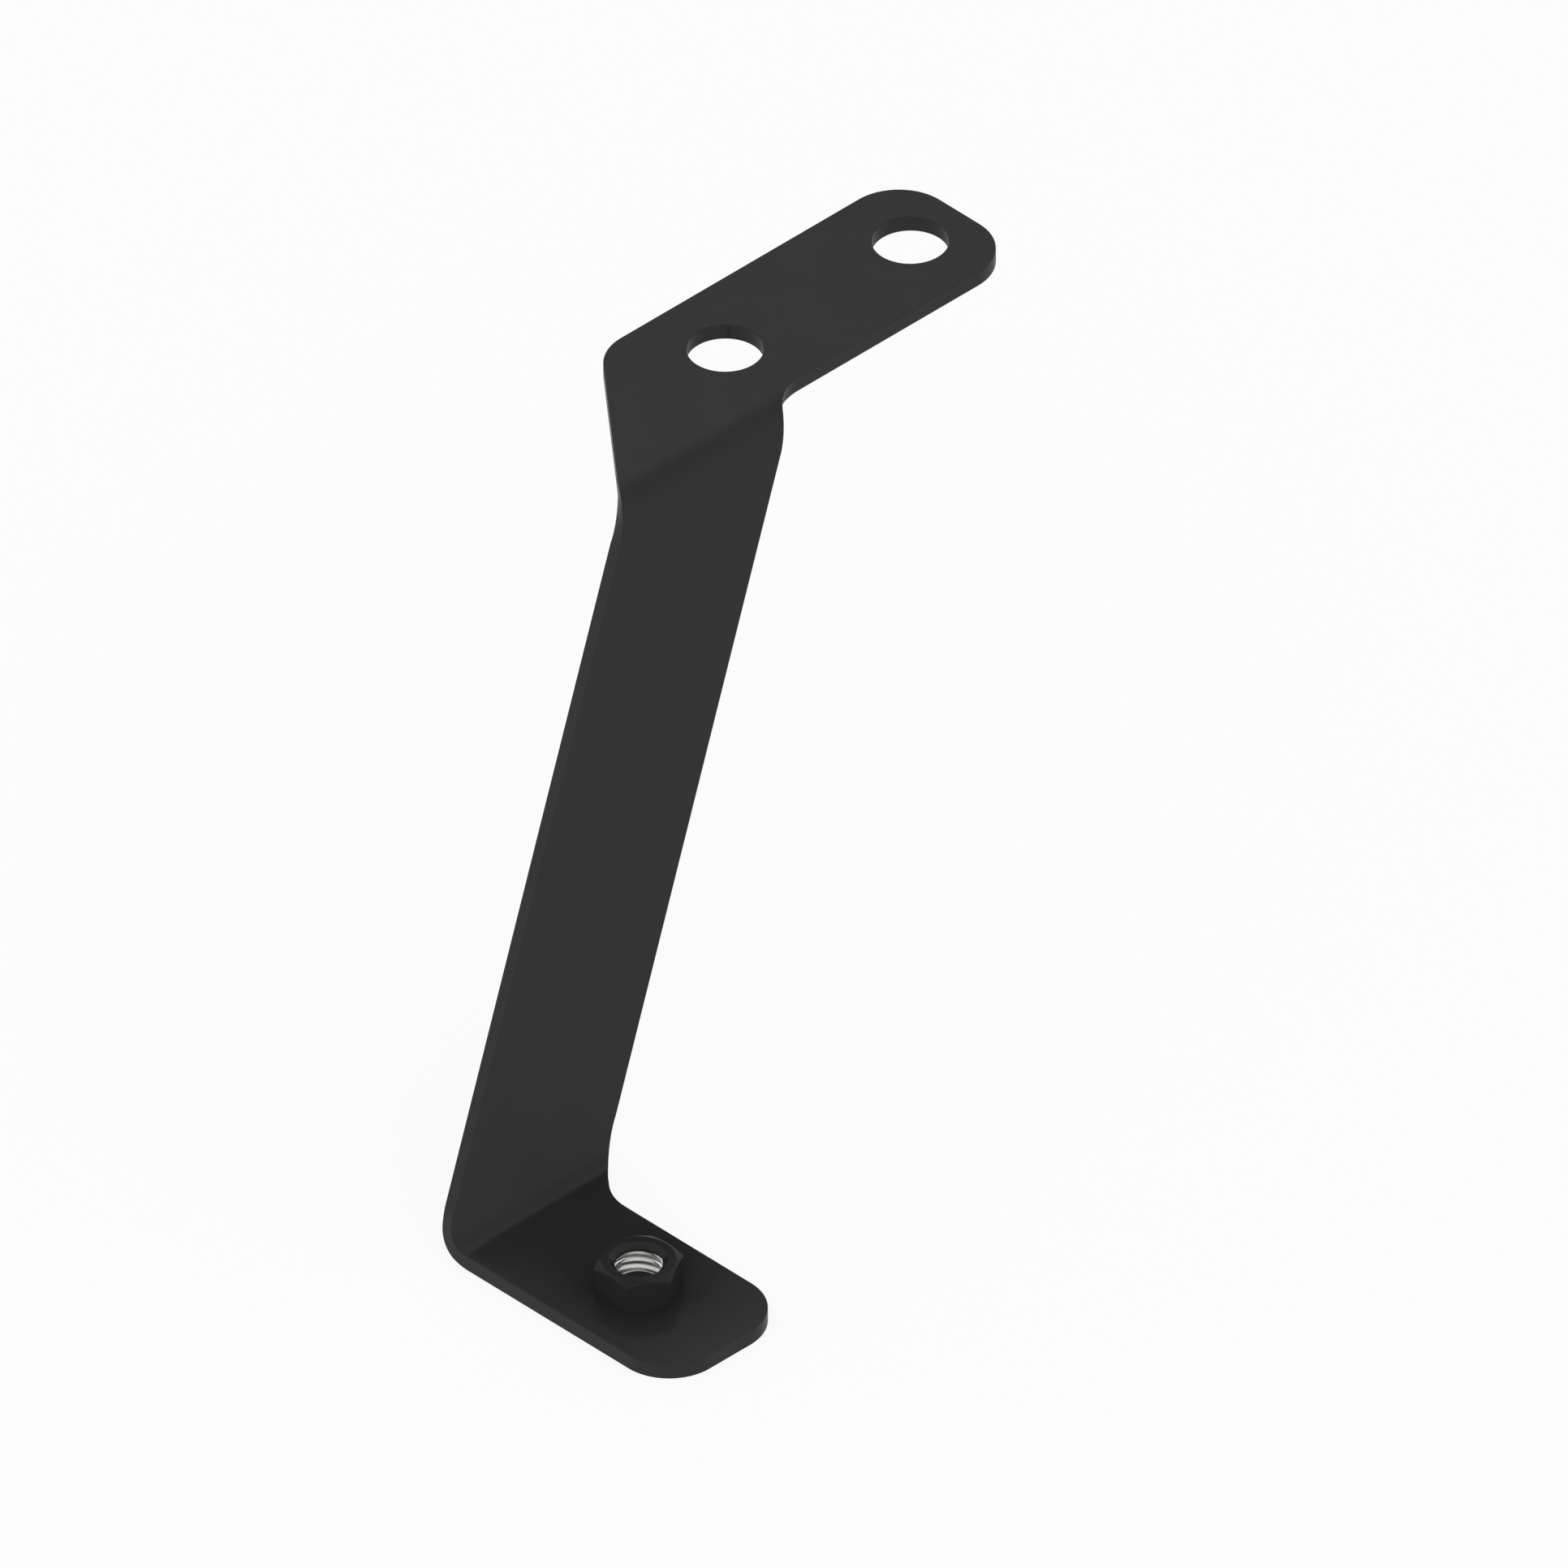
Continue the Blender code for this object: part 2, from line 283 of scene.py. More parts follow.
knee_start = foot_start - KNEE_REACH
flange_fold = np.linspace(flange_start, flange_stop, FOLD_ROWS)
web = np.linspace(flange_stop, knee_start, WEB_ROWS)[1:]
web_at_knee = np.linspace(knee_start, foot_start, KNEE_ROWS)[1:]
foot_fold = np.linspace(foot_start, foot_stop, FOLD_ROWS)[1:]
foot = np.linspace(foot_stop, foot_stop + FOOT_REACH, FOOT_ROWS)[1:]
rows = np.concatenate((flange_fold, web, web_at_knee, foot_fold, foot))
near_rows = outline.where(0, rows, outline.arc(NEAR_ELBOW), outline.arc(NEAR_TIP))
far_rows = outline.where(0, rows, outline.line(FAR_KNEE), outline.line(FAR_END))

near_middle = outline.where(1, [0.0], outline.line(NEAR_ELBOW), outline.arc(NEAR_ELBOW))[0]
far_middle = outline.where(1, [0.0], outline.line(FAR_END), outline.arc(FAR_END))[0]


def spread(stations, counts):
    """Distances from each station to the next in that many equal steps, without the last one."""
    stretches = [np.linspace(a, b, n, endpoint=False) for a, b, n in zip(stations, stations[1:], counts)]
    return np.concatenate(stretches)


END_STEPS = (17, 16, 12, 16, 17)
ELBOW_STEPS = (24, 12, 14)
CORNER_STEPS = (6, 12)
TIP_STEPS = (17, 16, 10, 16, 17)
once_round = outline.length
end_loop = spread((far_middle, outline.arc(FAR_END), once_round, once_round + outline.arc(NEAR_END),
                   once_round + outline.line(NEAR_ELBOW), once_round + near_middle), END_STEPS)
elbow_loop = spread((near_middle, outline.arc(NEAR_ELBOW), outline.line(NEAR_KNEE), near_rows[0]),
                    ELBOW_STEPS)
corner_loop = spread((far_rows[0], outline.line(FAR_END), far_middle), CORNER_STEPS)
tip_loop = spread((near_rows[-1], outline.arc(NEAR_TIP), outline.line(FAR_TIP), outline.arc(FAR_TIP),
                   outline.line(FAR_KNEE), far_rows[-1]), TIP_STEPS)
print(len(rows), "rows across the strap, and borders of", len(end_loop), "and", len(tip_loop),
      "points at its ends")


# %% [markdown]
# A ring joins as many points on the circle as its border has, one to one. The circle's are evenly
# spaced and the border's are not, so the quads lean a little, and least when the circle is turned
# to match the border on average. The two bolt holes share the flange, which a line midway between
# them divides.

# %% Rings and the grid
def circle(centre, radius, count, start=0.0):
    """Points evenly round a circle and their directions from its centre."""
    angle = start + np.arange(count) / count * 2 * math.pi
    direction = np.stack((np.cos(angle), np.sin(angle)), 1)
    return np.asarray(centre) + radius * direction, direction


def between(first, last, steps):
    """A grid from one row of points to another: (1 - w) first + w last, for w from 0 to 1."""
    w = np.linspace(0, 1, steps + 1)[None, :, None]
    return first[:, None] * (1 - w) + last[:, None] * w


def ring(centre, radius, border, steps=3):
    """A grid from a hole's circle out to a closed border. The circle's points are even, and turned
    so that on average they lie in the same direction as the border's points."""
    reach = border - centre
    bearing = np.unwrap(np.arctan2(reach[:, 1], reach[:, 0]))
    start = (bearing - np.arange(len(border)) / len(border) * 2 * math.pi).mean()
    points, direction = circle(centre, radius, len(border), start)
    return between(points, border, steps), direction


near_edge, far_edge = outline.at(near_rows)[0], outline.at(far_rows)[0]
strip = between(near_edge, far_edge, COLUMNS)
near_point, far_point = outline.at([near_middle])[0], outline.at([far_middle])[0]
DIVIDER_STEPS = 18
divider = between(near_point, far_point, DIVIDER_STEPS)[0]
end_border = np.concatenate((outline.at(end_loop)[0], divider[:-1]))
elbow_border = np.concatenate((outline.at(elbow_loop)[0], strip[0][:-1], outline.at(corner_loop)[0],
                               divider[:0:-1]))
tip_border = np.concatenate((outline.at(tip_loop)[0], strip[-1][:0:-1]))

nut_axis = np.array((foot_stop + FOOT_LENGTH - NUT_TO_FOOT_END, knee[1]))
holes = (
    (np.array((0.0, BOLT_HOLE_SPACING / 2)), BOLT_HOLE_DIAMETER / 2, end_border),
    (np.array((0.0, -BOLT_HOLE_SPACING / 2)), BOLT_HOLE_DIAMETER / 2, elbow_border),
    (nut_axis, NUT_CLEARANCE_HOLE / 2, tip_border),
)
for centre, radius, border in holes:
    print("a ring of", len(border), "steps round the hole at", np.round(centre, 2), "mm")

# %% [markdown]
# ## The edges
#
# The same edge profile goes round the outline and round each hole. At angle a of the profile,
# from straight up to straight down, a point lies cos a times the edge's round further out than the
# inner outline, and its outward direction is cos a times the outline's, plus sin a upwards.

# %% The blank
QUARTER_STEPS = 4
quarter = np.linspace(0, math.pi / 2, QUARTER_STEPS + 1)
profile_angle = np.concatenate((quarter[::-1], -quarter))
profile_out = EDGE_ROUND * np.cos(profile_angle)
arc_centre = np.repeat((1, -1), len(quarter)) * (STRAP_THICKNESS / 2 - EDGE_ROUND)
profile_height = arc_centre + EDGE_ROUND * np.sin(profile_angle)


def edge(points, outward):
    """The edge profile carried along a path: a grid of points and of outward directions."""
    flat = points[:, None] + outward[:, None] * profile_out[None, :, None]
    height = np.broadcast_to(profile_height[None, :, None], flat.shape[:2] + (1,))
    across = outward[:, None] * np.cos(profile_angle)[None, :, None]
    upward = np.broadcast_to(np.sin(profile_angle)[None, :, None], flat.shape[:2] + (1,))
    return np.concatenate((flat, height), -1), np.concatenate((across, upward), -1)


blank = Skin()


def add_faces(grid, closed):
    """Adds a flat grid twice, as the strap's top face and as its underside."""
    for side in (1, -1):
        height = np.full(grid.shape[:2] + (1,), side * STRAP_THICKNESS / 2)
        blank.add(np.concatenate((grid, height), -1), np.array((0.0, 0.0, float(side))), closed)


add_faces(strip, False)
for centre, radius, border in holes:
    grid, direction = ring(centre, radius + EDGE_ROUND, border)
    add_faces(grid, True)
    blank.add(*edge(grid[:, 0], -direction), closed=True)
all_round = np.concatenate((end_loop, elbow_loop, near_rows[:-1], tip_loop, far_rows[:0:-1], corner_loop))
blank.add(*edge(*outline.at(all_round)), closed=True)

# %% [markdown]
# ## The two folds
#
# Folding is a map from the flat blank to space. The middle of the sheet keeps its length, so a
# point x mm along lies x mm along the folded middle line, on an arc where x is inside a fold. The
# slope there tilts the sheet's thickness, and its outward directions with it. Outside the middle
# the metal stretches and inside it shortens, by height over radius, which turns the directions
# of the side walls a little.

# %% Folding the blank
def fold(points, normals):
    """The folded place and normals of points of the flat strap, whose z is from mid-thickness.
    With tilt = (x - flange_start) / r1 and unfold = (x - foot_start) / r2, both held between 0 and
    the fold angle, the slope is tilt - unfold, and the middle line is the sum of its four parts:
    two level stretches, the web down its slope, and two arcs."""
    x, y, z = points.T
    tilt = np.clip((x - flange_start) / flange_neutral, 0, FOLD_ANGLE)
    unfold = np.clip((x - foot_start) / foot_neutral, 0, FOLD_ANGLE)
    web = np.clip(x - flange_stop, 0, WEB_LENGTH)
    level = np.minimum(x, flange_start) + np.maximum(x - foot_stop, 0)
    left = FOLD_ANGLE - unfold
    middle_x = (level + flange_neutral * np.sin(tilt) + web * math.cos(FOLD_ANGLE)
                + foot_neutral * (math.sin(FOLD_ANGLE) - np.sin(left)))
    middle_z = (-STRAP_THICKNESS / 2 - flange_neutral * (1 - np.cos(tilt)) - web * math.sin(FOLD_ANGLE)
                - foot_neutral * (np.cos(left) - math.cos(FOLD_ANGLE)))
    slope = tilt - unfold
    bending = (((x > flange_start) & (x < flange_stop)) / flange_neutral
               - ((x > foot_start) & (x < foot_stop)) / foot_neutral)
    normals = normals / np.stack((1 + bending * z, np.ones_like(z), np.ones_like(z)), 1)
    normals /= np.linalg.norm(normals, axis=1)[:, None]
    along = np.stack((np.cos(slope), np.zeros_like(slope), -np.sin(slope)), 1)
    upward = np.stack((np.sin(slope), np.zeros_like(slope), np.cos(slope)), 1)
    sideways = np.array((0.0, 1.0, 0.0))
    place = np.stack((middle_x, y, middle_z), 1) + upward * z[:, None]
    return place, along * normals[:, :1] + sideways * normals[:, 1:2] + upward * normals[:, 2:]


points, normals, quads, finishes = blank.welded()
points, normals = fold(points, normals)
seat, _ = fold(np.array(((*nut_axis, STRAP_THICKNESS / 2),)), np.array(((0.0, 0.0, 1.0),)))
nut_seat = seat[0]
print("the nut stands on", np.round(nut_seat, 2), "mm")

# %% [markdown]
# ## The nut
#
# The nut is cold-formed from hexagon bar: its corners are cut back by a 30 degree cone on top. It
# is welded on before the coating, and the coat fills the seam at its foot, so its wall goes down
# to the strap and a hair into it. It could be cut with booleans, as a hexagon, a cone and a bore.
# But its section depends only on how far the side is from the axis, so it is one profile that is
# carried round the hexagon, with every upper edge rounded by a small arc, as the paint does on the
# real one.

# %% The nut's section
NUT_ACROSS_FLATS = 14.0
NUT_HEIGHT = 6.0
NUT_FACE_DIAMETER = 13.2
NUT_CHAMFER = math.radians(30.0)
NUT_MOUTH_DIAMETER = 10.4
NUT_FOOT_MOUTH_DIAMETER = 8.9
NUT_CORNER_ROUND = 0.3
NUT_EDGE_ROUND = 0.12
WELD_SEAM = 0.3
WELD_DEPTH = 0.02
WELD_INNER_DIAMETER = 11.8
nut_top = WELD_SEAM + NUT_HEIGHT


def rounded_corner(back, ahead, radius, steps=3):
    """The arc that replaces a corner, as offsets from it. With h half the angle between the unit
    directions back and ahead, its centre is radius / sin h along their bisector, and its points
    swing evenly from one touching point to the other."""
    back, ahead = np.array(back) / np.linalg.norm(back), np.array(ahead) / np.linalg.norm(ahead)
    half = math.acos(back @ ahead) / 2
    bisector = (back + ahead) / np.linalg.norm(back + ahead)
    centre = bisector * radius / math.sin(half)
    first, last = back * radius / math.tan(half) - centre, ahead * radius / math.tan(half) - centre
    sweep, w = math.pi - 2 * half, np.linspace(0, 1, steps + 1)[:, None]
    return centre + (np.sin((1 - w) * sweep) * first + np.sin(w * sweep) * last) / math.sin(sweep)


HEX_SIDES = 6
FLAT_STEPS, ROUND_STEPS = 34, 6
hexagon, _ = circle((0, 0), NUT_ACROSS_FLATS / 2 / math.cos(math.pi / HEX_SIDES), HEX_SIDES)
hexagon_path = RoundedPath(hexagon, NUT_CORNER_ROUND)
sides, side_outward = hexagon_path.at(spread(hexagon_path.stops, (FLAT_STEPS, ROUND_STEPS) * HEX_SIDES))
reach = np.linalg.norm(sides, axis=1)
bearing = sides / reach[:, None]
cone_drop = (reach - NUT_FACE_DIAMETER / 2) * math.tan(NUT_CHAMFER)
down_cone = np.array((math.cos(NUT_CHAMFER), -math.sin(NUT_CHAMFER)))
sharp = np.zeros((1, 2))
section = (
    (NUT_FACE_DIAMETER / 2, nut_top, rounded_corner((-1, 0), down_cone, NUT_EDGE_ROUND)),
    (reach, nut_top - cone_drop, rounded_corner(-down_cone, (0, -1), NUT_EDGE_ROUND)),
    (reach, -WELD_DEPTH, sharp),
    (WELD_INNER_DIAMETER / 2, -WELD_DEPTH, sharp),
    (WELD_INNER_DIAMETER / 2, WELD_SEAM, sharp),
)


def column(size):
    """The size of every direction round the nut, as a column, whether it varies or not."""
    return np.broadcast_to(size, reach.shape)[:, None]


radii = np.concatenate([column(radius) + arc[:, 0] for radius, _, arc in section], 1)
heights = np.concatenate([column(height) + arc[:, 1] for _, height, arc in section], 1)


def turned(directions, radii, heights):
    """A grid round the nut's axis, from each direction's radii and heights."""
    return np.concatenate((directions[:, None] * radii[..., None], heights[..., None]), -1)


outside = turned(bearing, radii, heights)
print("the nut is", round(float(np.ptp(sides[:, 0])), 2), "mm over its rounded corners")

# %% [markdown]
# ## The thread
#
# The bore is tapped M10: its crests stand at 8.38 mm, and its 60 degree flanks climb 1.5 mm for
# each turn. The groove is drawn shallower than a real one, to 9.5 mm and not 10, because its wide
# root is what shows as a broad bright band. A screw modifier would sweep a profile into a thread,
# but then the countersinks have to be cut through it. As a surface it needs no cutting: where two
# tools have passed, the bore is as wide as the wider of them. The upper countersink is smooth right
# down to the first groove, so the groove gets its depth only below it.

# %% The thread
THREAD_PITCH = 1.5
THREAD_CREST_DIAMETER = 8.38
THREAD_ROOT_DIAMETER = 9.5
THREAD_START = 0.16
PAINT_REACH = 0.4
BORE_ROWS = 150
FLANK = math.tan(math.radians(60))
crest_radius = THREAD_CREST_DIAMETER / 2
mouth_radius = NUT_MOUTH_DIAMETER / 2
thread_top = nut_top - (mouth_radius - crest_radius)
mouth_arc = rounded_corner((-1, -1), (1, 0), NUT_EDGE_ROUND)


def thread_radius(angle, height):
    """The tapped radius at an angle and height. The distance d from the middle of a crest repeats
    with the pitch, and rises by a pitch in a turn. The radius is the crest's up to an eighth of a
    pitch from there, and then grows by d tan 60 up to the root's. Below the countersink the
    groove deepens by tan 60 times the distance from it."""
    turns = height / THREAD_PITCH - angle / (2 * math.pi) + THREAD_START
    from_crest = np.abs(turns - np.round(turns)) * THREAD_PITCH
    depth = (THREAD_ROOT_DIAMETER - THREAD_CREST_DIAMETER) / 2
    deepest = np.clip((thread_top - height) * FLANK, 0, depth)
    return crest_radius + np.clip((from_crest - THREAD_PITCH / 8) * FLANK, 0, deepest)


across_bearing = np.unwrap(np.arctan2(bearing[:, 1], bearing[:, 0]))
turn = np.arange(len(sides)) / len(sides) * 2 * math.pi
turn += (across_bearing - turn).mean()
bore_height = np.linspace(WELD_SEAM, nut_top + mouth_arc[0, 1], BORE_ROWS)
tapped = thread_radius(turn[:, None], bore_height[None])
from_top, from_foot = nut_top - bore_height, bore_height - WELD_SEAM
countersunk = np.maximum(mouth_radius - from_top, NUT_FOOT_MOUTH_DIAMETER / 2 - from_foot)
bore_radius = np.maximum(tapped, countersunk)
mouth_radii = np.broadcast_to(mouth_radius + mouth_arc[1:, 0], (len(turn), len(mouth_arc) - 1))
mouth_heights = np.broadcast_to(nut_top + mouth_arc[1:, 1], mouth_radii.shape)
even = np.stack((np.cos(turn), np.sin(turn)), 1)
inside = turned(even, np.concatenate((bore_radius, mouth_radii), 1),
                np.concatenate((np.broadcast_to(bore_height, bore_radius.shape), mouth_heights), 1))

COATED, BARE = 0, 1
painted = (tapped <= countersunk) | (bore_height > thread_top - PAINT_REACH)
bare = np.where(painted, COATED, BARE)[:, 1:]
inside_finish = np.concatenate((bare, np.full((len(turn), len(mouth_arc) - 1), COATED)), 1)
print(round(100 * float((bare == BARE).mean())), "% of the bore is bare thread")


# %% [markdown]
# The outside, the bore, the top and the foot meet along shared rows of points and are welded into
# one closed skin. The section's last three columns are the foot's outer edge, its inner edge and
# the top of the seam, so the narrow walls between them are grids of their own. The normals can't
# come from the grids, because a thread's flank is neither level nor upright. Averaged evenly they
# would bend the flats near each small arc, so the large faces weigh more.

# %% The nut's skin
TOP_STEPS, UNDERSIDE_STEPS = 4, 2
UP, DOWN = np.array((0.0, 0.0, 1.0)), np.array((0.0, 0.0, -1.0))
nut = Skin()
level_out = np.concatenate((side_outward, np.zeros((len(sides), 1))), 1)[:, None]
level_in = np.concatenate((-even, np.zeros((len(turn), 1))), 1)[:, None]
nut.add(outside[:, :-2], level_out, closed=True)
nut.add(outside[:, -3:-1], DOWN, closed=True)
nut.add(outside[:, -2:], level_in, closed=True)
nut.add(inside, level_in, closed=True, finish=inside_finish)
nut.add(between(inside[:, -1], outside[:, 0], TOP_STEPS), UP, closed=True)
nut.add(between(outside[:, -1], inside[:, 0], UNDERSIDE_STEPS), DOWN, closed=True)


def area_normals(points, quads):
    """A normal for each point: the sum of its quads' normals, each weighed by the square of its
    area, so that the large faces stay flat and the small arcs between them take up the turn."""
    corner = points[quads]
    facing = np.cross(corner[:, 2] - corner[:, 0], corner[:, 3] - corner[:, 1])
    facing *= np.linalg.norm(facing, axis=1)[:, None]
    normals = np.zeros_like(points)
    for k in range(4):
        np.add.at(normals, quads[:, k], facing)
    return normals / np.linalg.norm(normals, axis=1)[:, None]


nut_points, _, nut_quads, nut_finishes = nut.welded()
nut_normals = area_normals(nut_points, nut_quads)
print("the nut's skin has", len(nut_points), "points")

# %% [markdown]
# ## Finishes
#
# One function turns a written colour into the linear values that Blender computes with, and one
# adds a node with its settings and links. Patterns are sized in millimetres: the pieces lie in
# metres, so a pattern whose features are s mm apart has a scale of 1000 / s.

# %% Colour and nodes
def linear(code):
    """An sRGB hex colour as linear RGBA: a channel c up to 0.04045 becomes c / 12.92, and above
    that ((c + 0.055) / 1.055) to the power 2.4."""
    c = np.array([int(code[i:i + 2], 16) for i in (1, 3, 5)]) / 255
    return (*np.where(c <= 0.04045, c / 12.92, ((c + 0.055) / 1.055) ** 2.4).tolist(), 1.0)


def node(tree, kind, sockets=(), **settings):
    """Adds a node, sets its properties, and sets or links its input sockets, given as pairs of a
    name or number and a value or another node's output."""
    made = tree.nodes.new(kind)
    for name, value in settings.items():
        setattr(made, name, value)
    for name, value in sockets:
        if isinstance(value, bpy.types.NodeSocket):
            tree.links.new(value, made.inputs[name])
        else:
            made.inputs[name].default_value = value
    return made


def new_material(name):
    """An empty material with nodes, its tree and its output node."""
    material = bpy.data.materials.new(name)
    material.use_nodes = True
    material.node_tree.nodes.clear()
    return material, material.node_tree, node(material.node_tree, "ShaderNodeOutputMaterial")


def per_metre(size):
    """The scale of a pattern whose features are that many millimetres apart."""
    return 1 / (size * MM)


WHITE = (1.0, 1.0, 1.0, 1.0)
NOISE_LOW, NOISE_HIGH = 0.3, 0.7
print("a noise texture's values lie mostly between", NOISE_LOW, "and", NOISE_HIGH)


# %% [markdown]
# ### Dip-coated black paint
#
# The strap and the nut are painted together: cathodic dip coat, an epoxy film of about 20
# micrometres that is drawn onto the steel in a bath and baked. It is near black and half matt,
# and the bake leaves a faint orange peel a millimetre or two across, so its shine drifts a little
# from place to place. A Principled shader alone mirrors too much at a glancing look, and its gloss
# there can't be turned down. So a share of the film, its fine pores, is only black and matt.

# %% Dip-coated black paint
PEEL_SIZE = 1.6
PEEL_DEPTH = 0.004
PEEL_STRENGTH = 0.5
DRIFT_SIZE = 14.0
DRIFT_IN_SHINE = 0.02
FILM_IOR = 1.5


def dip_coat(name, dark, light, roughness, pores):
    """Black dip coat: two close blacks and two close roughnesses that drift over the piece, and
    the orange peel as a bump. The film mirrors a little; its pores, a share of it, are only black."""
    material, tree, output = new_material(name)
    place = node(tree, "ShaderNodeTexCoord").outputs["Object"]
    drift = node(tree, "ShaderNodeTexNoise", (
        ("Vector", place), ("Scale", per_metre(DRIFT_SIZE)), ("Detail", 3.0))).outputs["Fac"]
    peel = node(tree, "ShaderNodeTexNoise", (
        ("Vector", place), ("Scale", per_metre(PEEL_SIZE)), ("Detail", 1.5))).outputs["Fac"]
    shade = node(tree, "ShaderNodeValToRGB", ((0, drift),))
    for stop, position, colour in zip(shade.color_ramp.elements, (NOISE_LOW, NOISE_HIGH), (dark, light)):
        stop.position, stop.color = position, linear(colour)
    shine = node(tree, "ShaderNodeMapRange", (
        ("Value", drift), ("From Min", NOISE_LOW), ("From Max", NOISE_HIGH),
        ("To Min", roughness - DRIFT_IN_SHINE), ("To Max", roughness + DRIFT_IN_SHINE)))
    bump = node(tree, "ShaderNodeBump", (
        ("Height", peel), ("Strength", PEEL_STRENGTH), ("Distance", PEEL_DEPTH * MM)))
    paint = node(tree, "ShaderNodeBsdfPrincipled", (
        ("Base Color", shade.outputs["Color"]), ("Roughness", shine.outputs["Result"]),
        ("Normal", bump.outputs["Normal"]), ("IOR", FILM_IOR)))
    black = node(tree, "ShaderNodeBsdfDiffuse", (("Color", shade.outputs["Color"]),))
    film = node(tree, "ShaderNodeMixShader", (
        (0, pores), (1, paint.outputs["BSDF"]), (2, black.outputs["BSDF"])))
    tree.links.new(film.outputs["Shader"], output.inputs["Surface"])
    print(name, "is mirror-like over", round(100 * (1 - pores)), "% of its film")
    return material


strap_coat = dip_coat("black_dip_coat", "#272728", "#2a2a2b", 0.17, 0.68)
# Painted shade: the nut's coat is the same paint as the strap's, written a shade darker to stand in for the
# shade that the strap above casts on the nut.
nut_coat_with_painted_shade = dip_coat("black_dip_coat_on_nut_with_painted_shade", "#242425", "#272728", 0.19, 0.75)

# %% [markdown]
# ### Bare tapped steel
#
# The thread is the one place with no paint, so that a bolt runs in it. A tap leaves bright steel
# with fine marks along the helix, which climbs so little in a turn that they are close to level. A
# brushed metal is often made with an anisotropic shader. In so small a bore a stretched noise does
# as well, and it also gives the marks themselves.

# %% Bare tapped steel
TAP_MARK_SIZE = 0.1
TAP_MARK_STRETCH = 0.12
TAP_MARK_DEPTH = 0.002
TAP_MARK_STRENGTH = 0.5
TAP_MARK_SHINE = 0.06


def tapped_steel(name, colour, roughness):
    """Bare steel with tap marks: a noise that is drawn out round the bore and close along it."""
    material, tree, output = new_material(name)
    place = node(tree, "ShaderNodeTexCoord").outputs["Object"]
    drawn = node(tree, "ShaderNodeMapping", (
        ("Vector", place), ("Scale", (TAP_MARK_STRETCH, TAP_MARK_STRETCH, 1.0))))
    marks = node(tree, "ShaderNodeTexNoise", (
        ("Vector", drawn.outputs["Vector"]), ("Scale", per_metre(TAP_MARK_SIZE)),
        ("Detail", 2.0))).outputs["Fac"]
    shine = node(tree, "ShaderNodeMapRange", (
        ("Value", marks), ("From Min", NOISE_LOW), ("From Max", NOISE_HIGH),
        ("To Min", roughness - TAP_MARK_SHINE), ("To Max", roughness + TAP_MARK_SHINE)))
    bump = node(tree, "ShaderNodeBump", (
        ("Height", marks), ("Strength", TAP_MARK_STRENGTH), ("Distance", TAP_MARK_DEPTH * MM)))
    steel = node(tree, "ShaderNodeBsdfPrincipled", (
        ("Base Color", linear(colour)), ("Metallic", 1.0), ("Roughness", shine.outputs["Result"]),
        ("Normal", bump.outputs["Normal"])))
    tree.links.new(steel.outputs["BSDF"], output.inputs["Surface"])
    print(name, "has marks", TAP_MARK_SIZE, "mm wide and", round(TAP_MARK_SIZE / TAP_MARK_STRETCH, 2),
          "mm long")
    return material


bare_steel = tapped_steel("bare_tapped_steel", "#d4d4d1", 0.16)

# %% [markdown]
# ## The pieces in their places
#
# Each piece stands for one of the frame's solids: it rides on the same body and takes over the
# solid's place, and the solid is hidden.

# %% The pieces in their places
strap_piece = make_piece("folded_strap", points, normals, quads, finishes, (strap_coat,))
nut_piece = make_piece("hex_weld_nut", nut_points + nut_seat, nut_normals, nut_quads, nut_finishes,
                       (nut_coat_with_painted_shade, bare_steel))
for piece, replaced, slot in ((strap_piece, "bracket_strap", "strap_coating"),
                              (nut_piece, "weld_nut", "nut_coating")):
    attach(piece, "root")
    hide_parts(replaced)

# %% [markdown]
# ## Floor, light and camera
#
# The bracket is shown as in a parts list: on white, in soft light from all round, with almost no
# shadow. The light could come from several large lamps, but a white world gives it evenly and
# from everywhere. Only its ceiling is dimmer: the fold under the flange mirrors it, and so shows a
# shade darker than the faces on both its sides. The floor is white, and what the camera and
# reflections see of it is mostly its own glow, so that it stays white and still takes a faint
# shadow under the foot. From below it is clear, which lets the underside be seen.

# %% The floor
FLOOR_HALF = 3.0
FLOOR_GLOW = 0.9


def seen_directly(tree):
    """One where the ray is the camera's or a mirrored or transmitted one, else nought."""
    path = node(tree, "ShaderNodeLightPath")
    either = node(tree, "ShaderNodeMath", (
        (0, path.outputs["Is Camera Ray"]), (1, path.outputs["Is Glossy Ray"])), operation="MAXIMUM")
    return node(tree, "ShaderNodeMath", (
        (0, either.outputs[0]), (1, path.outputs["Is Transmission Ray"])), operation="MAXIMUM").outputs[0]


floor_level = cad_box[0][2]
corners = [(x * FLOOR_HALF, y * FLOOR_HALF, floor_level) for x, y in ((-1, -1), (1, -1), (1, 1), (-1, 1))]
floor_mesh = bpy.data.meshes.new("floor")
floor_mesh.from_pydata(corners, (), ((0, 1, 2, 3),))
floor = bpy.data.objects.new("floor", floor_mesh)
bpy.context.scene.collection.objects.link(floor)
floor_material, tree, output = new_material("white_studio_floor")
white = node(tree, "ShaderNodeBsdfDiffuse", (("Color", linear("#f5f5f5")),))
glow = node(tree, "ShaderNodeEmission", (("Color", WHITE), ("Strength", 1.0)))
share = node(tree, "ShaderNodeMath", ((0, seen_directly(tree)), (1, FLOOR_GLOW)), operation="MULTIPLY")
mixed = node(tree, "ShaderNodeMixShader", (
    (0, share.outputs[0]), (1, white.outputs[0]), (2, glow.outputs[0])))
underneath = node(tree, "ShaderNodeNewGeometry").outputs["Backfacing"]
clear = node(tree, "ShaderNodeBsdfTransparent")
one_sided = node(tree, "ShaderNodeMixShader", (
    (0, underneath), (1, mixed.outputs[0]), (2, clear.outputs[0])))
tree.links.new(one_sided.outputs[0], output.inputs["Surface"])
floor_mesh.materials.append(floor_material)
floor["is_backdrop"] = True
print("the floor lies at", round(floor_level / MM, 2), "mm, level with the foot's underside")

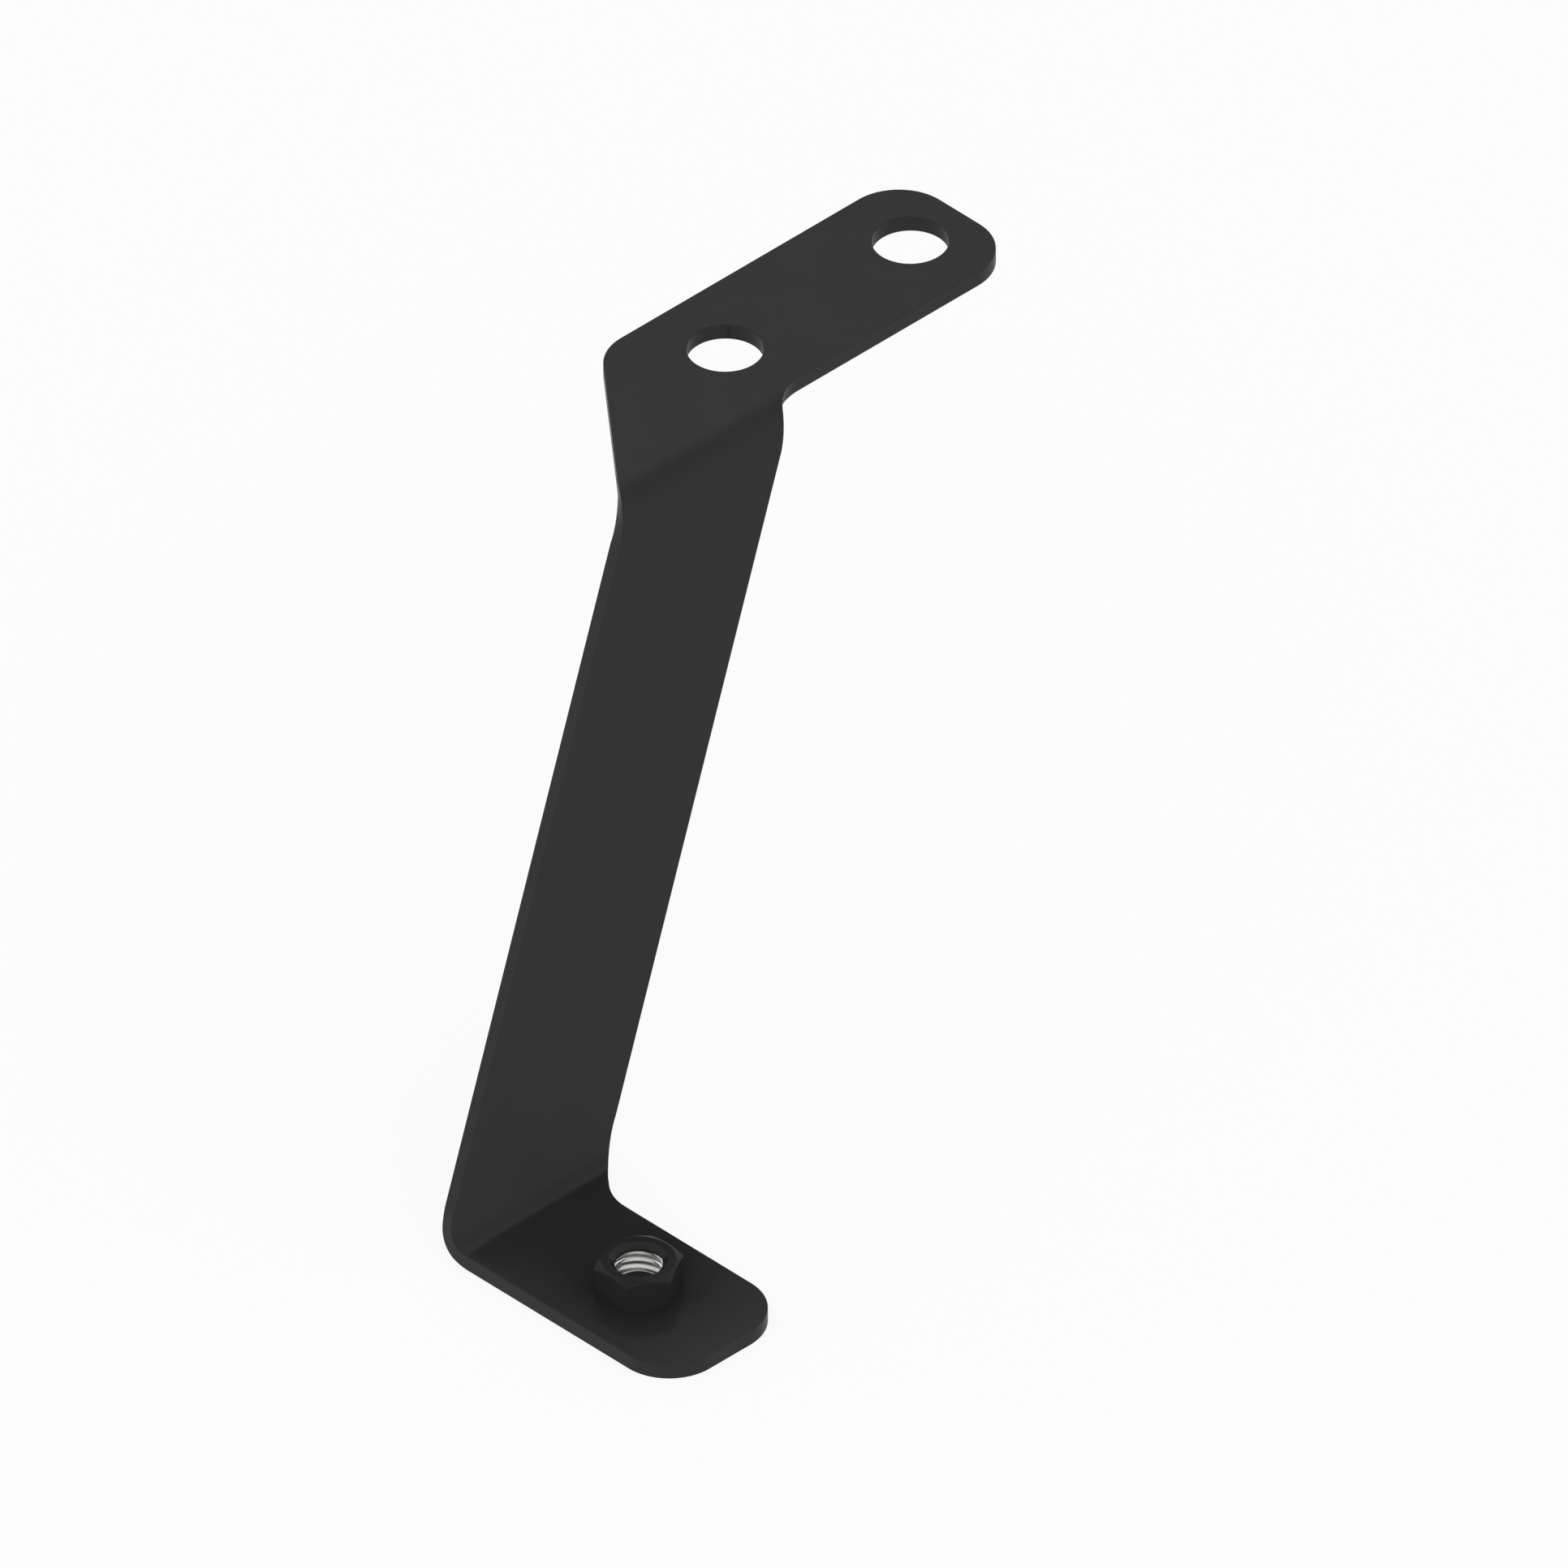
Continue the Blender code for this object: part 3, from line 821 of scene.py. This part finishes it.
# %% [markdown]
# The world's brightness depends only on how high a ray looks: 1 from below up to about 46 degrees,
# and then falling smoothly to 0.3 straight overhead.

# %% The world
CEILING_STARTS = 0.72
CEILING_LIGHT = 0.3
world = bpy.data.worlds.new("white_studio")
bpy.context.scene.world = world
world.use_nodes = True
world.node_tree.nodes.clear()
direction = node(world.node_tree, "ShaderNodeTexCoord").outputs["Generated"]
rise = node(world.node_tree, "ShaderNodeSeparateXYZ", (("Vector", direction),)).outputs["Z"]
ceiling = node(world.node_tree, "ShaderNodeMapRange", (
    ("Value", rise), ("From Min", CEILING_STARTS), ("To Min", 1.0), ("To Max", CEILING_LIGHT)),
    interpolation_type="SMOOTHSTEP")
sky = node(world.node_tree, "ShaderNodeBackground", (
    ("Color", WHITE), ("Strength", ceiling.outputs["Result"])))
node(world.node_tree, "ShaderNodeOutputWorld", (("Surface", sky.outputs[0]),))
print("the ceiling is dimmer above", round(math.degrees(math.asin(CEILING_STARTS))), "degrees")

# %% [markdown]
# One large, weak softbox stands low in front. The faces that look to the front, such as the web and
# the strap's near edges, get a little more light from it than the even world gives them. It is kept
# out of reflections, as a lamp behind a white sheet is: its light arrives, but its disk doesn't
# show in the paint.

# %% The front softbox
SOFTBOX_PLACE = Vector((0.9, -1.1, 0.2))
SOFTBOX_SIZE = 1.0
SOFTBOX_POWER = 3.5
middle = Vector([(low + high) / 2 for low, high in zip(*cad_box)])
softbox = bpy.data.lights.new("softbox_front", "AREA")
softbox.shape, softbox.size, softbox.energy = "DISK", SOFTBOX_SIZE, SOFTBOX_POWER
lamp = bpy.data.objects.new("softbox_front", softbox)
lamp.location = SOFTBOX_PLACE
lamp.visible_glossy = False
lamp.rotation_euler = (middle - SOFTBOX_PLACE).to_track_quat("-Z", "Y").to_euler()
bpy.context.scene.collection.objects.link(lamp)
print("the softbox stands", round((SOFTBOX_PLACE - middle).length, 2), "m from the bracket")

# %% [markdown]
# ## The camera
#
# The photograph has no vanishing points: all parallel edges of the strap stay parallel, so it was
# taken with a parallel projection. Its direction follows from how long the strap's edges look, and
# its width from the strap's real size.

# %% The camera
AZIMUTH = math.radians(46.015)
ELEVATION = math.radians(36.547)
ROLL = math.radians(0.350)
VIEW_WIDTH = 273.17
AIM = Vector((51.440, -58.535, -48.592)) * MM
DISTANCE = 1.0

sin_a, cos_a = math.sin(AZIMUTH), math.cos(AZIMUTH)
sin_e, cos_e = math.sin(ELEVATION), math.cos(ELEVATION)
right = Vector((cos_a, sin_a, 0.0))
upright = Vector((-sin_a * sin_e, cos_a * sin_e, cos_e))
back = Vector((sin_a * cos_e, -cos_a * cos_e, sin_e))
camera_right = right * math.cos(ROLL) - upright * math.sin(ROLL)
camera_up = upright * math.cos(ROLL) + right * math.sin(ROLL)
camera_data = bpy.data.cameras.new("parts_list_camera")
camera_data.type = "ORTHO"
camera_data.ortho_scale = VIEW_WIDTH * MM
camera = bpy.data.objects.new("parts_list_camera", camera_data)
camera_axes = Matrix((camera_right, camera_up, back)).transposed().to_4x4()
camera.matrix_world = Matrix.Translation(AIM + back * DISTANCE) @ camera_axes
bpy.context.scene.collection.objects.link(camera)
bpy.context.scene.camera = camera
bpy.context.scene.view_settings.view_transform = "Standard"
print("the camera sees", VIEW_WIDTH, "mm from", round(math.degrees(ELEVATION), 1), "degrees above")

# %% [markdown]
# ## Sizes and finish
#
# The pieces must not outgrow the solids that they stand for, so both boxes are written down and
# can be compared: they should agree to a few thousandths of a millimetre.

# %% Sizes and finish
made_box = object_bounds()
for label, box in (("solids", cad_box), ("pieces", made_box)):
    print(label, "from", [round(v / MM, 2) for v in box[0]], "to", [round(v / MM, 2) for v in box[1]], "mm")
